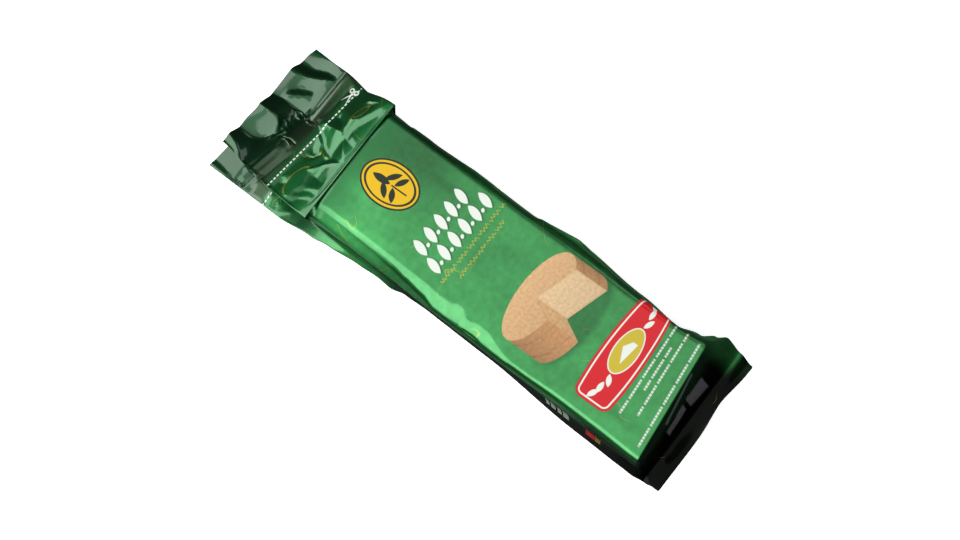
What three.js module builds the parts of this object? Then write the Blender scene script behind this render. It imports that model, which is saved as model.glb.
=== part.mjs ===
// A shut vacuum pack of hard cheese: a long block of cheese inside a green foil bag with side gussets.
// The pack lies on its back. +X runs across it, +Y along it from the foot to the header, +Z up out of
// its front. Lengths are millimetres.
//
// The foil clings to the block. Past each end of the block it draws in to a flat heat seal: the short
// foot fin at -Y and the long header at +Y. In a seal the gussets fold in between the front and the
// back, so each side of it is two thin ears with an open valley between them.

import * as THREE from 'three';

// ---- Driving dimensions ---------------------------------------------------------------------------

const DEPTH = 57; // from the back of the pack to its front
const FOIL = 0.9; // thickness of one ear, which is two layers of foil sealed together
const EAR_GAP = 1.2; // least opening between the two ears at one side of a seal
const VALLEY = 17; // how near to the middle the gussets reach in a seal
const FOOT_HEIGHT = 28; // height of the foot fin
const HEADER_LEFT = 47; // height of the header over its left valley
const HEADER_RIGHT = 43; // and over its right valley

// Stations along the pack, from the foot to the header.
const FOOT_EDGE = -9.5;
const FOOT_SEAL = 0;
const FOOT = 10;
const HEAD = 236;
const LIP = 240;
const CUT_LINE = 266;
const HEAD_SEAL = 281;
const HEAD_EDGE = 306;

// ---- Small helpers --------------------------------------------------------------------------------

const mix = (a, b, f) => a + (b - a) * f;
const clamp = (v, low, high) => Math.min(high, Math.max(low, v));
const ease = (f) => f * f * (3 - 2 * f);
const stepUp = (from, to, v) => ease(clamp((v - from) / (to - from), 0, 1));
const bell = (d, width) => Math.exp(-(d * d) / (width * width));

// A value that eases from one station to the next: [station, value] pairs.
function track(places) {
  return (t) => {
    if (t <= places[0][0]) return places[0][1];
    for (let i = 1; i < places.length; i++) {
      const [t0, v0] = places[i - 1];
      const [t1, v1] = places[i];
      if (t <= t1) return mix(v0, v1, ease((t - t0) / (t1 - t0)));
    }
    return places[places.length - 1][1];
  };
}

// ---- The eight creases and shoulders that run the length of the bag --------------------------------
// Each has its x, its height z, how far it leads its station along y, and its rounding.

function line({ x, z, y = [[0, 0]], round }) {
  return { x: track(x), z: track(z), y: track(y), round: track(round) };
}

// The front creases: the edges of the front panel, and the tips of the front ears.
const frontLeft = line({
  x: [[FOOT_EDGE, -40.5], [FOOT_SEAL, -40.5], [FOOT, -38], [60, -36.3], [130, -35.5], [200, -36],
    [HEAD, -36.5], [LIP, -40], [CUT_LINE, -38.8], [HEAD_SEAL, -37], [HEAD_EDGE, -33.3]],
  z: [[FOOT_EDGE, FOOT_HEIGHT + FOIL], [FOOT_SEAL, 30], [FOOT, 44], [20, 46], [130, 46], [200, 47],
    [HEAD, 51], [LIP, 58], [CUT_LINE, 57.5], [HEAD_EDGE, DEPTH]],
  y: [[FOOT_SEAL, 0], [FOOT, -3], [60, 0], [HEAD, 0], [LIP, -2.5], [LIP + 6, 0]],
  round: [[FOOT_SEAL, 0.6], [FOOT + 6, 3], [HEAD - 10, 3], [LIP, 1.5], [CUT_LINE, 0.6]],
});
const frontRight = line({
  x: [[FOOT_EDGE, 45.6], [FOOT_SEAL, 47.5], [8, 49.5], [13, 46], [19, 41], [30, 37.2], [60, 39.5],
    [105, 43.2], [136, 39.8], [175, 40.6], [HEAD, 39], [LIP, 43], [CUT_LINE, 40.8], [HEAD_SEAL, 43.8],
    [HEAD_EDGE, 45]],
  z: [[FOOT_EDGE, FOOT_HEIGHT + FOIL], [FOOT_SEAL, 31], [8, 36], [28, 46], [200, 47], [HEAD, 50],
    [LIP, 58], [CUT_LINE, 46], [HEAD_SEAL, 43], [HEAD_EDGE, 41]],
  y: [[FOOT_SEAL, 0], [8, 2], [28, 4], [60, 0], [HEAD, 0], [LIP, -2.5], [LIP + 6, 0]],
  round: [[FOOT_SEAL, 0.6], [30, 3], [HEAD - 10, 3], [LIP, 1.5], [CUT_LINE, 0.6]],
});
// The front shoulders: the block's long front edges, which run in to the valleys at the seals.
const shoulderLeft = line({
  x: [[FOOT_EDGE, -VALLEY], [FOOT_SEAL, -VALLEY - 2], [FOOT, -35.5], [60, -35], [130, -33],
    [180, -30.5], [HEAD, -29.5], [LIP, -29.5], [HEAD_SEAL, -VALLEY], [HEAD_EDGE, -VALLEY]],
  z: [[FOOT_EDGE, FOOT_HEIGHT + FOIL], [FOOT_SEAL, FOOT_HEIGHT + 2], [FOOT, DEPTH], [HEAD, DEPTH],
    [LIP, 58.8], [252, 55], [CUT_LINE, 51.5], [HEAD_SEAL, HEADER_LEFT + FOIL],
    [HEAD_EDGE, HEADER_LEFT + FOIL]],
  y: [[FOOT_SEAL, 0], [FOOT, -3.5], [60, 0], [HEAD, 0], [LIP, -2.5], [LIP + 6, 0]],
  round: [[FOOT_SEAL, 5], [FOOT, 2.5], [40, 4], [60, 7], [150, 7], [180, 3], [HEAD, 2.5], [LIP, 2],
    [CUT_LINE, 6], [HEAD_EDGE, 6]],
});
const shoulderRight = line({
  x: [[FOOT_EDGE, VALLEY], [FOOT_SEAL, VALLEY + 2], [FOOT, 36.5], [60, 36.5], [105, 37.5], [136, 36.5],
    [HEAD, 36.5], [LIP, 36], [HEAD_SEAL, VALLEY], [HEAD_EDGE, VALLEY]],
  z: [[FOOT_EDGE, FOOT_HEIGHT + FOIL], [FOOT_SEAL, FOOT_HEIGHT + 2], [FOOT, DEPTH], [HEAD, DEPTH],
    [LIP, 58.5], [252, 54], [CUT_LINE, 48.5], [HEAD_SEAL, HEADER_RIGHT + FOIL],
    [HEAD_EDGE, HEADER_RIGHT + FOIL]],
  y: [[FOOT_SEAL, 0], [FOOT, 4.5], [60, 0], [HEAD, 0], [LIP, -2.5], [LIP + 6, 0]],
  round: [[FOOT_SEAL, 5], [FOOT, 2.5], [60, 4], [HEAD, 2.5], [LIP, 2], [CUT_LINE, 6], [HEAD_EDGE, 6]],
});
// The valleys: the innermost folds of the two gussets.
const valleyLeft = line({
  x: [[FOOT_EDGE, -VALLEY], [FOOT_SEAL, -VALLEY - 2], [FOOT, -34], [25, -38], [130, -37], [HEAD, -38],
    [HEAD_SEAL, -VALLEY], [HEAD_EDGE, -VALLEY]],
  z: [[FOOT_EDGE, FOOT_HEIGHT], [130, 28], [HEAD, 38], [HEAD_SEAL, HEADER_LEFT], [HEAD_EDGE, HEADER_LEFT]],
  round: [[FOOT_SEAL, 0.3], [20, 3], [200, 2], [HEAD_SEAL, 0.3]],
});
const valleyRight = line({
  x: [[FOOT_EDGE, VALLEY], [FOOT_SEAL, VALLEY + 2], [FOOT, 35], [25, 38.5], [HEAD, 38.5],
    [HEAD_SEAL, VALLEY], [HEAD_EDGE, VALLEY]],
  z: [[FOOT_EDGE, FOOT_HEIGHT], [130, 28], [HEAD, 34], [HEAD_SEAL, HEADER_RIGHT], [HEAD_EDGE, HEADER_RIGHT]],
  round: [[FOOT_SEAL, 0.3], [20, 3], [200, 2], [HEAD_SEAL, 0.3]],
});
// The back creases, and the back shoulders, which are the edges of the flat that the pack rests on.
const backLeft = line({
  x: [[FOOT_EDGE, -39.5], [FOOT_SEAL, -41], [FOOT, -41.5], [50, -41], [115, -37.6], [160, -37.2],
    [200, -40], [HEAD, -45.5], [256, -48], [HEAD_EDGE, -48.4]],
  z: [[FOOT_EDGE, FOOT_HEIGHT - FOIL], [FOOT_SEAL, 23], [FOOT, 8], [190, 8], [256, 43], [HEAD_EDGE, 48]],
  y: [[HEAD_SEAL, 0], [HEAD_EDGE, 2]],
  round: [[FOOT_SEAL, 0.6], [FOOT + 6, 3], [190, 3], [HEAD, 1], [HEAD_SEAL, 0.6]],
});
const backRight = line({
  x: [[FOOT_EDGE, 45], [FOOT_SEAL, 46.5], [FOOT, 44], [30, 40], [60, 41], [120, 42], [200, 42],
    [256, 42], [HEAD_SEAL, 44.5], [HEAD_EDGE, 45]],
  z: [[FOOT_EDGE, FOOT_HEIGHT - FOIL], [FOOT_SEAL, 23], [FOOT, 8], [190, 8], [256, 36], [HEAD_SEAL, 39.5],
    [HEAD_EDGE, 37]],
  round: [[FOOT_SEAL, 0.6], [FOOT + 6, 3], [190, 3], [HEAD, 1], [HEAD_SEAL, 0.6]],
});
const restLeft = line({
  x: [[FOOT_EDGE, -VALLEY], [FOOT_SEAL, -VALLEY - 2], [FOOT, -36], [190, -36], [HEAD, -33],
    [HEAD_SEAL, -VALLEY], [HEAD_EDGE, -VALLEY]],
  z: [[FOOT_EDGE, FOOT_HEIGHT - FOIL], [FOOT_SEAL, FOOT_HEIGHT - 2], [FOOT + 2, 0], [HEAD - 4, 0],
    [HEAD_SEAL, HEADER_LEFT - FOIL], [HEAD_EDGE, HEADER_LEFT - FOIL]],
  round: [[FOOT_SEAL, 4], [FOOT, 2.5], [HEAD, 2.5], [HEAD_SEAL, 4]],
});
const restRight = line({
  x: [[FOOT_EDGE, VALLEY], [FOOT_SEAL, VALLEY + 2], [FOOT, 38], [190, 38], [HEAD, 35],
    [HEAD_SEAL, VALLEY], [HEAD_EDGE, VALLEY]],
  z: [[FOOT_EDGE, FOOT_HEIGHT - FOIL], [FOOT_SEAL, FOOT_HEIGHT - 2], [FOOT + 2, 0], [HEAD - 4, 0],
    [HEAD_SEAL, HEADER_RIGHT - FOIL], [HEAD_EDGE, HEADER_RIGHT - FOIL]],
  round: [[FOOT_SEAL, 4], [FOOT, 2.5], [HEAD, 2.5], [HEAD_SEAL, 4]],
});

// ---- Relief of the foil ----------------------------------------------------------------------------

// Waves across the two seals, which run through all their layers and grow to the open edges. They are
// heights at places across the pack.
const headerWave = track([[-34, 0], [-21, 1.8], [-11, -0.6], [-1, 1.2], [11, -1.6], [28, 1.8], [45, -1]]);
const footWave = track([[-40, 0.8], [-14, -1], [19, 1.8], [44, -0.6]]);

function wave(x, t) {
  const header = 0.25 * stepUp(LIP + 6, HEAD_SEAL, t) + 0.75 * stepUp(HEAD_SEAL, HEAD_EDGE, t);
  const foot = stepUp(FOOT_SEAL + 4, FOOT_EDGE, t);
  return header * headerWave(x) + foot * footWave(x);
}

// The foot fin is puckered: its edge is drawn in near one place.
function pucker(x, t) {
  return 2 * bell(x - 19, 13) * stepUp(FOOT_SEAL, FOOT_EDGE, t);
}

// Dents in the collar, where the front panel is slack between the lip and the header's seal.
const collarDents = [[-24, 250, 9, -2.6], [-6, 258, 10, 1.4], [6, 249, 9, -2.4], [22, 254, 9, -1.6],
  [30, 248, 7, 1.5]];

function dents(x, t) {
  const slack = stepUp(LIP + 2, LIP + 8, t) * stepUp(HEAD_SEAL, CUT_LINE - 4, t);
  if (slack === 0) return 0;
  return slack * collarDents.reduce((sum, [x0, t0, width, rise]) =>
    sum + rise * bell(x - x0, width) * bell(t - t0, width), 0);
}

// ---- One ring round the bag ------------------------------------------------------------------------

const PANEL_STEPS = 12; // front panel between its shoulders
const EAR_STEPS = 5; // front panel between a crease and its shoulder
const GUSSET_STEPS = 5; // half a gusset
const REST_STEPS = 6; // back panel between its shoulders
const ROUND_STEPS = 3; // any rounded corner

function spot(crease, t) {
  return new THREE.Vector3(crease.x(t), t + crease.y(t), crease.z(t));
}

// Points round the corner of one or two corner points, between the runs to `before` and to `after`.
function corner(before, points, after, round) {
  const first = points[0];
  const last = points[points.length - 1];
  const start = first.clone().lerp(before, Math.min(0.4, round / first.distanceTo(before)));
  const end = last.clone().lerp(after, Math.min(0.4, round / last.distanceTo(after)));
  const curve = points.length === 1
    ? new THREE.QuadraticBezierCurve3(start, first, end)
    : new THREE.CubicBezierCurve3(start, first, last, end);
  return curve.getPoints(ROUND_STEPS);
}

function ring(t) {
  const fl = spot(frontLeft, t);
  const fr = spot(frontRight, t);
  const bl = spot(backLeft, t);
  const br = spot(backRight, t);
  for (const [front, back] of [[fl, bl], [fr, br]]) {
    const short = Math.max(0, 2 * FOIL + EAR_GAP - (front.z - back.z));
    front.z += short / 2;
    back.z -= short / 2;
  }
  const layer = new THREE.Vector3(0, 0, FOIL);
  const keys = [
    { at: [fl.clone().sub(layer), fl], round: frontLeft.round(t), steps: EAR_STEPS, dented: true },
    { at: [spot(shoulderLeft, t)], round: shoulderLeft.round(t), steps: PANEL_STEPS, dented: true },
    { at: [spot(shoulderRight, t)], round: shoulderRight.round(t), steps: EAR_STEPS, dented: true },
    { at: [fr, fr.clone().sub(layer)], round: frontRight.round(t), steps: GUSSET_STEPS },
    { at: [spot(valleyRight, t)], round: valleyRight.round(t), steps: GUSSET_STEPS },
    { at: [br.clone().add(layer), br], round: backRight.round(t), steps: 3 },
    { at: [spot(restRight, t)], round: restRight.round(t), steps: REST_STEPS },
    { at: [spot(restLeft, t)], round: restLeft.round(t), steps: 3 },
    { at: [bl, bl.clone().add(layer)], round: backLeft.round(t), steps: GUSSET_STEPS },
    { at: [spot(valleyLeft, t)], round: valleyLeft.round(t), steps: GUSSET_STEPS },
  ];
  const corners = keys.map((key, i) => {
    const before = keys[(i + keys.length - 1) % keys.length].at;
    const after = keys[(i + 1) % keys.length].at;
    return corner(before[before.length - 1], key.at, after[0], key.round);
  });
  const points = [];
  keys.forEach((key, i) => {
    const next = corners[(i + 1) % keys.length][0];
    const last = corners[i][corners[i].length - 1];
    const between = [];
    for (let k = 1; k < key.steps; k++) between.push(last.clone().lerp(next, k / key.steps));
    for (const p of [...corners[i], ...between]) {
      p.z += wave(p.x, t) + (key.dented ? dents(p.x, t) : 0);
      p.y += pucker(p.x, t);
      points.push(p);
    }
  });
  return points;
}

// ---- The pack --------------------------------------------------------------------------------------

// Stations of the rings, closer together where the foil turns.
function stations() {
  const spans = [[FOOT_SEAL, 3], [FOOT, 6], [FOOT + 20, 6], [HEAD - 20, 20], [HEAD, 5], [LIP, 3],
    [LIP + 6, 3], [CUT_LINE, 8], [HEAD_SEAL, 5], [HEAD_EDGE, 7]];
  const list = [FOOT_EDGE];
  for (const [to, steps] of spans) {
    const from = list[list.length - 1];
    for (let i = 1; i <= steps; i++) list.push(mix(from, to, i / steps));
  }
  return list;
}

function packGeometry() {
  const rings = stations().map(ring);
  const count = rings[0].length;
  const points = rings.flat();
  const faces = [];
  for (let j = 0; j + 1 < rings.length; j++) {
    for (let i = 0; i < count; i++) {
      const a = j * count + i;
      const b = j * count + ((i + 1) % count);
      faces.push(a, b, a + count, b, b + count, a + count);
    }
  }
  // Flat triangles close the first ring, facing -Y, and the last one, facing +Y.
  const cap = (start, sign) => {
    const outline = points.slice(start, start + count).map((p) => new THREE.Vector2(p.x, p.z));
    const triangles = THREE.ShapeUtils.triangulateShape(outline, []);
    const area = triangles.reduce((sum, corners) =>
      sum + THREE.ShapeUtils.area(corners.map((i) => outline[i])), 0);
    for (const [a, b, c] of triangles) {
      if (area * sign > 0) faces.push(start + a, start + b, start + c);
      else faces.push(start + a, start + c, start + b);
    }
  };
  cap(0, 1);
  cap((rings.length - 1) * count, -1);
  const geometry = new THREE.BufferGeometry();
  geometry.setAttribute('position', new THREE.Float32BufferAttribute(points.flatMap((p) => p.toArray()), 3));
  geometry.setIndex(faces);
  // The origin is the middle of the pack's box, on the table.
  geometry.computeBoundingBox();
  const { min, max } = geometry.boundingBox;
  geometry.translate(-(min.x + max.x) / 2, -(min.y + max.y) / 2, -min.z);
  geometry.computeVertexNormals();
  return geometry;
}

const foil = new THREE.MeshStandardMaterial({ color: 0x3f9e58, roughness: 0.35, metalness: 0.6 });
const pack = new THREE.Mesh(packGeometry(), foil);
pack.name = 'foil_pack';

const group = new THREE.Group();
group.add(pack);
export default group;
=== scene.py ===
# The looks of a shut vacuum pack of hard cheese: a long block in a green foil bag with side gussets,
# lying on its back on a pale table. +X runs across the pack, +Y along it from the foot to the header,
# +Z up out of its front. Shape sizes are millimetres, turned to metres where the mesh is made.

import math

import bmesh
import bpy
import numpy as np
from mathutils import Matrix, Vector


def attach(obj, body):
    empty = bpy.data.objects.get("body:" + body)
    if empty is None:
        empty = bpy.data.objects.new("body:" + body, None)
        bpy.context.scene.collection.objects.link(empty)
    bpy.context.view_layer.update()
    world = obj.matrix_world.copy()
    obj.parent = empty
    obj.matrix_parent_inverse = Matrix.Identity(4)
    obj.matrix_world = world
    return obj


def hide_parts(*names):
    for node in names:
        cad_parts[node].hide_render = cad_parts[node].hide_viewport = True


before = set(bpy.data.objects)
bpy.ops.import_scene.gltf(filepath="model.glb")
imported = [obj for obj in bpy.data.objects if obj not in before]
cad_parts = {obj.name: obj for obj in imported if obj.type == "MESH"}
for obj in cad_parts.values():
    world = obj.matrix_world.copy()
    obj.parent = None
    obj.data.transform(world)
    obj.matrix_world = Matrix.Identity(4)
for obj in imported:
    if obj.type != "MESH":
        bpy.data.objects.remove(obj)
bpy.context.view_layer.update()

MM = 0.001

# ---- Driving dimensions, as the solid has them ------------------------------------------------------

DEPTH = 57.0
FOIL = 0.45  # one ear: two layers of foil sealed together
EAR_GAP = 1.6
VALLEY = 17.0
FOOT_HEIGHT = 28.0
HEADER_LEFT = 47.0  # height of the header's middle layers over the left valley
HEADER_RIGHT = 43.0
FLAP_DROOP = 2.0  # how far the header's cut edge hangs down

# Stations along the pack, from the foot to the header.
FOOT_EDGE = -9.5
FOOT_SEAL = 0.0
FOOT = 10.0
HEAD = 236.0
LIP = 240.0
CUT_LINE = 266.0
HEAD_SEAL = 281.0
HEAD_EDGE = 306.0

# Bands count the bag's lines outward from mid front: right positive, left negative.
SHOULDER_BAND = 0.8
CREASE_BAND = 1
VALLEY_BAND = 2
REAR_BAND = 3
REST_BAND = 3.5
SEAM_BAND = 4  # the middle of the back


# ---- Small helpers ----------------------------------------------------------------------------------

def ease(f):
    return f * f * (3 - 2 * f)


def step_up(low, high, v):
    return ease(np.clip((v - low) / (high - low), 0, 1))


def bell(d, width):
    return np.exp(-(d / width) ** 2)


def track(*places):
    """A value that eases from one station to the next, given as (station, value) pairs."""
    stations = np.array([p[0] for p in places], float)
    values = np.array([p[1] for p in places], float)
    if len(places) == 1:
        return lambda t: np.full(np.shape(t), values[0])

    def at(t):
        t = np.clip(t, stations[0], stations[-1])
        i = np.clip(np.searchsorted(stations, t, side="right") - 1, 0, len(stations) - 2)
        f = ease((t - stations[i]) / (stations[i + 1] - stations[i]))
        return values[i] + (values[i + 1] - values[i]) * f

    return at


# ---- The lines that run the length of the bag -------------------------------------------------------

class Line:
    """A crease or shoulder: its x, its height z, how far it leads its station along y, its rounding."""

    def __init__(self, x, z, round, y=((0, 0),)):
        self.x, self.z, self.y, self.round = (track(*places) for places in (x, z, y, round))

    def at(self, t):
        return np.stack([self.x(t), t + self.y(t), self.z(t)], axis=-1)


OVER = [(234, 0), (238, 1.6), (LIP, -2.2), (LIP + 8, 0)]  # the lip hangs over the front panel

front_left = Line(
    x=[(FOOT_EDGE, -40.5), (FOOT_SEAL, -40.5), (FOOT, -38), (60, -37), (100, -37.8), (150, -37.8),
       (180, -37), (HEAD, -36.6), (LIP, -40), (CUT_LINE, -38.8), (HEAD_SEAL, -37), (HEAD_EDGE, -33.3)],
    z=[(FOOT_EDGE, FOOT_HEIGHT + FOIL), (FOOT_SEAL, 30), (FOOT, 44), (20, 46), (160, 46), (195, 51.2),
       (HEAD, 52.3), (LIP, 58), (CUT_LINE, 57.5), (HEAD_EDGE, DEPTH)],
    y=[(FOOT_SEAL, 0), (FOOT, -3), (60, 0)] + OVER + [(HEAD_SEAL, 0), (HEAD_EDGE, 2)],
    round=[(FOOT_SEAL, 0.4), (FOOT + 6, 3), (HEAD - 10, 3), (LIP, 1.2), (CUT_LINE, 0.4)])
front_right = Line(
    x=[(FOOT_EDGE, 45.6), (FOOT_SEAL, 47.5), (8, 49.5), (13, 46), (19, 41), (30, 37.2), (60, 39.5),
       (105, 43.2), (136, 39.8), (175, 40.6), (HEAD, 39), (LIP, 43), (CUT_LINE, 40.8),
       (HEAD_SEAL, 43.8), (HEAD_EDGE, 45)],
    z=[(FOOT_EDGE, FOOT_HEIGHT + FOIL), (FOOT_SEAL, 31), (8, 36), (28, 46), (200, 47), (HEAD, 50),
       (LIP, 58), (CUT_LINE, 46), (HEAD_SEAL, 43), (HEAD_EDGE, 41)],
    y=[(FOOT_SEAL, 0), (8, 2), (28, 4), (60, 0)] + OVER,
    round=[(FOOT_SEAL, 0.4), (30, 3), (HEAD - 10, 3), (LIP, 1.2), (CUT_LINE, 0.4)])
shoulder_left = Line(
    x=[(FOOT_EDGE, -VALLEY), (FOOT_SEAL, -VALLEY - 2), (FOOT, -35.5), (60, -35.3), (88, -36.2),
       (100, -37), (147, -37), (157, -34.3), (170, -32.6), (181, -31), (192, -29.8), (HEAD, -28.6),
       (LIP, -29.5), (HEAD_SEAL, -VALLEY), (HEAD_EDGE, -VALLEY)],
    z=[(FOOT_EDGE, FOOT_HEIGHT + FOIL), (FOOT_SEAL, FOOT_HEIGHT + 2), (FOOT, DEPTH), (HEAD + 2, DEPTH),
       (LIP, 58.8), (252, 55), (CUT_LINE, 51.5), (HEAD_SEAL, HEADER_LEFT + FOIL),
       (HEAD_EDGE, HEADER_LEFT + FOIL)],
    y=[(FOOT_SEAL, 0), (FOOT, -3.5), (60, 0)] + OVER,
    round=[(FOOT_SEAL, 5), (FOOT, 2.5), (40, 2.5), (HEAD, 1.5), (LIP, 2), (CUT_LINE, 6), (HEAD_EDGE, 6)])
shoulder_right = Line(
    x=[(FOOT_EDGE, VALLEY), (FOOT_SEAL, VALLEY + 2), (FOOT, 36.2), (28, 35.3), (60, 35.7), (105, 36.8),
       (136, 36.3), (HEAD, 36.3), (LIP, 36), (HEAD_SEAL, VALLEY), (HEAD_EDGE, VALLEY)],
    z=[(FOOT_EDGE, FOOT_HEIGHT + FOIL), (FOOT_SEAL, FOOT_HEIGHT + 2), (FOOT, DEPTH), (HEAD + 2, DEPTH),
       (LIP, 58.5), (252, 54), (CUT_LINE, 48.5), (HEAD_SEAL, HEADER_RIGHT + FOIL),
       (HEAD_EDGE, HEADER_RIGHT + FOIL)],
    y=[(FOOT_SEAL, 0), (FOOT, 4.5), (60, 0)] + OVER,
    round=[(FOOT_SEAL, 5), (FOOT, 2.5), (60, 4), (HEAD, 2.5), (LIP, 2), (CUT_LINE, 6), (HEAD_EDGE, 6)])
valley_left = Line(
    x=[(FOOT_EDGE, -VALLEY), (FOOT_SEAL, -VALLEY - 2), (FOOT, -34), (25, -38), (130, -37), (HEAD, -38),
       (HEAD_SEAL, -VALLEY), (HEAD_EDGE, -VALLEY)],
    z=[(FOOT_EDGE, FOOT_HEIGHT), (130, 28), (HEAD, 38), (HEAD_SEAL, HEADER_LEFT),
       (HEAD_EDGE, HEADER_LEFT)],
    round=[(FOOT_SEAL, 0.2), (20, 3), (200, 2), (HEAD_SEAL, 0.2)])
valley_right = Line(
    x=[(FOOT_EDGE, VALLEY), (FOOT_SEAL, VALLEY + 2), (FOOT, 35), (25, 38.5), (HEAD, 38.5),
       (HEAD_SEAL, VALLEY), (HEAD_EDGE, VALLEY)],
    z=[(FOOT_EDGE, FOOT_HEIGHT), (130, 28), (HEAD, 34), (HEAD_SEAL, HEADER_RIGHT),
       (HEAD_EDGE, HEADER_RIGHT)],
    round=[(FOOT_SEAL, 0.2), (20, 3), (200, 2), (HEAD_SEAL, 0.2)])
back_left = Line(
    x=[(FOOT_EDGE, -39.5), (FOOT_SEAL, -41), (FOOT, -41.5), (50, -41), (115, -37.6), (160, -37.2),
       (176, -38), (184, -40.6), (192, -40.2), (205, -41.4), (225, -43.6), (HEAD, -45.4), (256, -48),
       (HEAD_EDGE, -48.4)],
    z=[(FOOT_EDGE, FOOT_HEIGHT - FOIL), (FOOT_SEAL, 23), (FOOT, 8), (150, 8), (172, 13), (190, 26),
       (205, 31), (225, 35.5), (256, 43), (HEAD_EDGE, 48)],
    y=[(HEAD_SEAL, 0), (HEAD_EDGE, 3)],
    round=[(FOOT_SEAL, 0.4), (FOOT + 6, 3), (190, 3), (HEAD, 1), (HEAD_SEAL, 0.4)])
back_right = Line(
    x=[(FOOT_EDGE, 45), (FOOT_SEAL, 46.5), (FOOT, 44), (30, 40), (60, 41), (120, 42), (200, 42),
       (256, 42), (HEAD_SEAL, 44.5), (HEAD_EDGE, 45)],
    z=[(FOOT_EDGE, FOOT_HEIGHT - FOIL), (FOOT_SEAL, 23), (FOOT, 8), (190, 8), (256, 36),
       (HEAD_SEAL, 39.5), (HEAD_EDGE, 37)],
    round=[(FOOT_SEAL, 0.4), (FOOT + 6, 3), (190, 3), (HEAD, 1), (HEAD_SEAL, 0.4)])
rest_left = Line(
    x=[(FOOT_EDGE, -VALLEY), (FOOT_SEAL, -VALLEY - 2), (FOOT, -36), (190, -36), (HEAD, -33),
       (HEAD_SEAL, -VALLEY), (HEAD_EDGE, -VALLEY)],
    z=[(FOOT_EDGE, FOOT_HEIGHT - FOIL), (FOOT_SEAL, FOOT_HEIGHT - 2), (FOOT + 2, 0), (HEAD - 4, 0),
       (HEAD_SEAL, HEADER_LEFT - FOIL), (HEAD_EDGE, HEADER_LEFT - FOIL)],
    round=[(FOOT_SEAL, 4), (FOOT, 2.5), (HEAD, 2.5), (HEAD_SEAL, 4)])
rest_right = Line(
    x=[(FOOT_EDGE, VALLEY), (FOOT_SEAL, VALLEY + 2), (FOOT, 38), (190, 38), (HEAD, 35),
       (HEAD_SEAL, VALLEY), (HEAD_EDGE, VALLEY)],
    z=[(FOOT_EDGE, FOOT_HEIGHT - FOIL), (FOOT_SEAL, FOOT_HEIGHT - 2), (FOOT + 2, 0), (HEAD - 4, 0),
       (HEAD_SEAL, HEADER_RIGHT - FOIL), (HEAD_EDGE, HEADER_RIGHT - FOIL)],
    round=[(FOOT_SEAL, 4), (FOOT, 2.5), (HEAD, 2.5), (HEAD_SEAL, 4)])


# ---- The film's grid: rings round the bag, from the foot to the header ------------------------------

CORNER_STEPS = 5
EAR_STEPS = 12  # front panel, from a crease to its shoulder
PANEL_STEPS = 104  # front panel, between its shoulders
REAR_EAR_STEPS = 24  # from the left rear crease, which shows behind the flap, to its valley
GUSSET_STEPS = 10
WRAP_STEPS = 5  # back panel, from a crease to its shoulder
REST_STEPS = 10

# How many rings each stretch has, up to its station.
RING_SPANS = [(FOOT_SEAL, 16), (FOOT + 4, 30), (34, 18), (HEAD - 12, 124), (HEAD, 14), (LIP + 2, 20),
              (HEAD_SEAL + 4, 92), (HEAD_EDGE, 46)]


def ring_stations():
    stations = [FOOT_EDGE]
    for end, steps in RING_SPANS:
        stations.extend(np.linspace(stations[-1], end, steps + 1)[1:])
    return np.array(stations)


def lerp(a, b, f):
    return a + (b - a) * f


def corner(before, points, after, rounding):
    """Points of a rounded corner by way of one or two corner points, for every station at once."""
    def towards(p, q):
        reach = np.minimum(0.4, rounding / np.linalg.norm(q - p, axis=-1))
        return lerp(p, q, reach[:, None])

    control = [towards(points[0], before)] + list(points) + [towards(points[-1], after)]
    f = np.linspace(0, 1, CORNER_STEPS + 1)[None, :, None]
    level = [p[:, None, :] + 0 * f for p in control]
    while len(level) > 1:
        level = [lerp(a, b, f) for a, b in zip(level, level[1:])]
    return level[0]


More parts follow.
